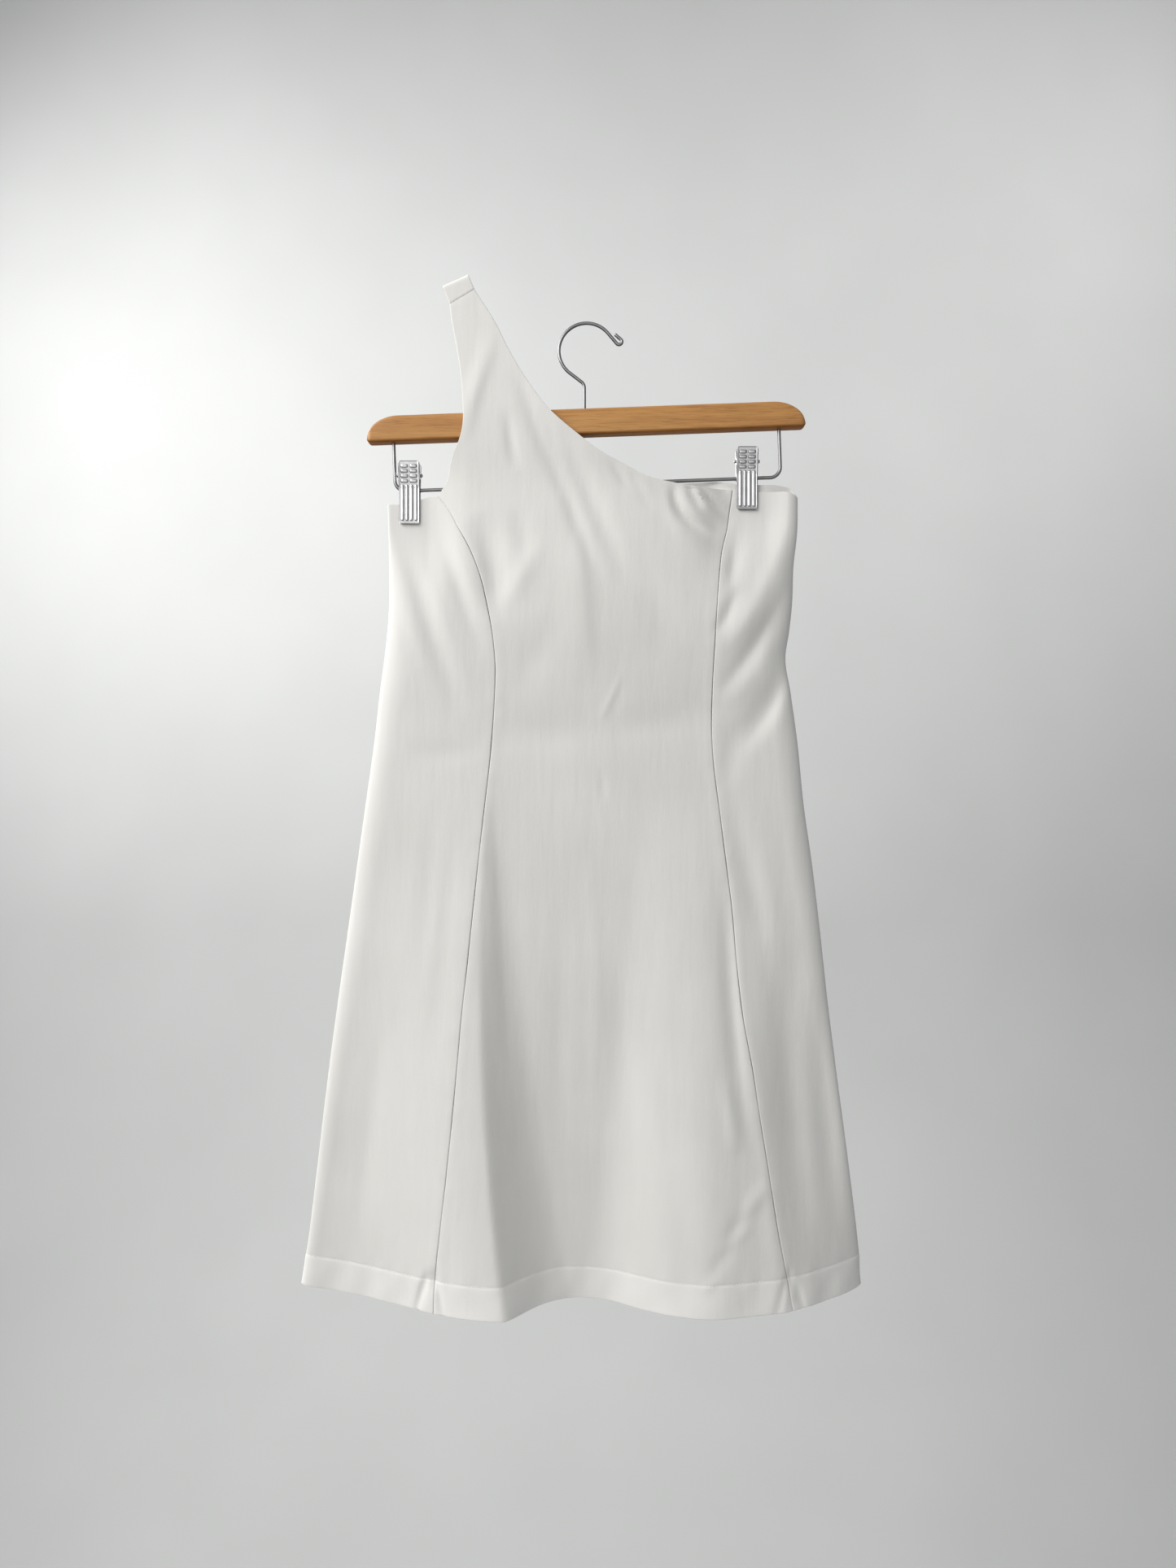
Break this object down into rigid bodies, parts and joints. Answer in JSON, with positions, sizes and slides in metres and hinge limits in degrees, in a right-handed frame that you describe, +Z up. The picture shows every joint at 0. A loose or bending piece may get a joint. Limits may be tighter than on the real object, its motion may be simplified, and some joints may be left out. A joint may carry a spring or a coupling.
{
  "type": "one-shoulder dress on a wooden clip hanger",
  "caption": "White one-shoulder dress with princess seams and a flared skirt, hung by clips under a wooden hanger with a wire hook.",
  "frame": {"origin": "underside of the hook's arch at its highest point, where a rail or pin carries the hanger", "axes": "+X to the viewer's right, +Y from the front of the dress towards its back, +Z up"},
  "size_m": [0.4557, 0.0633, 0.8308],
  "materials": {
    "white_cloth": "smooth matte white stretch knit with a faint sheen",
    "honey_wood": "honey-coloured wood, satin lacquer",
    "steel_wire": "bright drawn steel wire",
    "clip_chrome": "pressed steel with polished chrome plate"
  },
  "bodies": {
    "root": {"front_centre": "white_cloth", "front_side_left": "white_cloth", "front_side_right": "white_cloth", "back": "white_cloth", "hanger_bar": "honey_wood", "hook": "steel_wire", "rod": "steel_wire", "clip_left_front": "clip_chrome", "clip_left_back": "clip_chrome", "clip_left_pin": "steel_wire", "clip_right_front": "clip_chrome", "clip_right_back": "clip_chrome", "clip_right_pin": "steel_wire"}
  },
  "joints": []
}
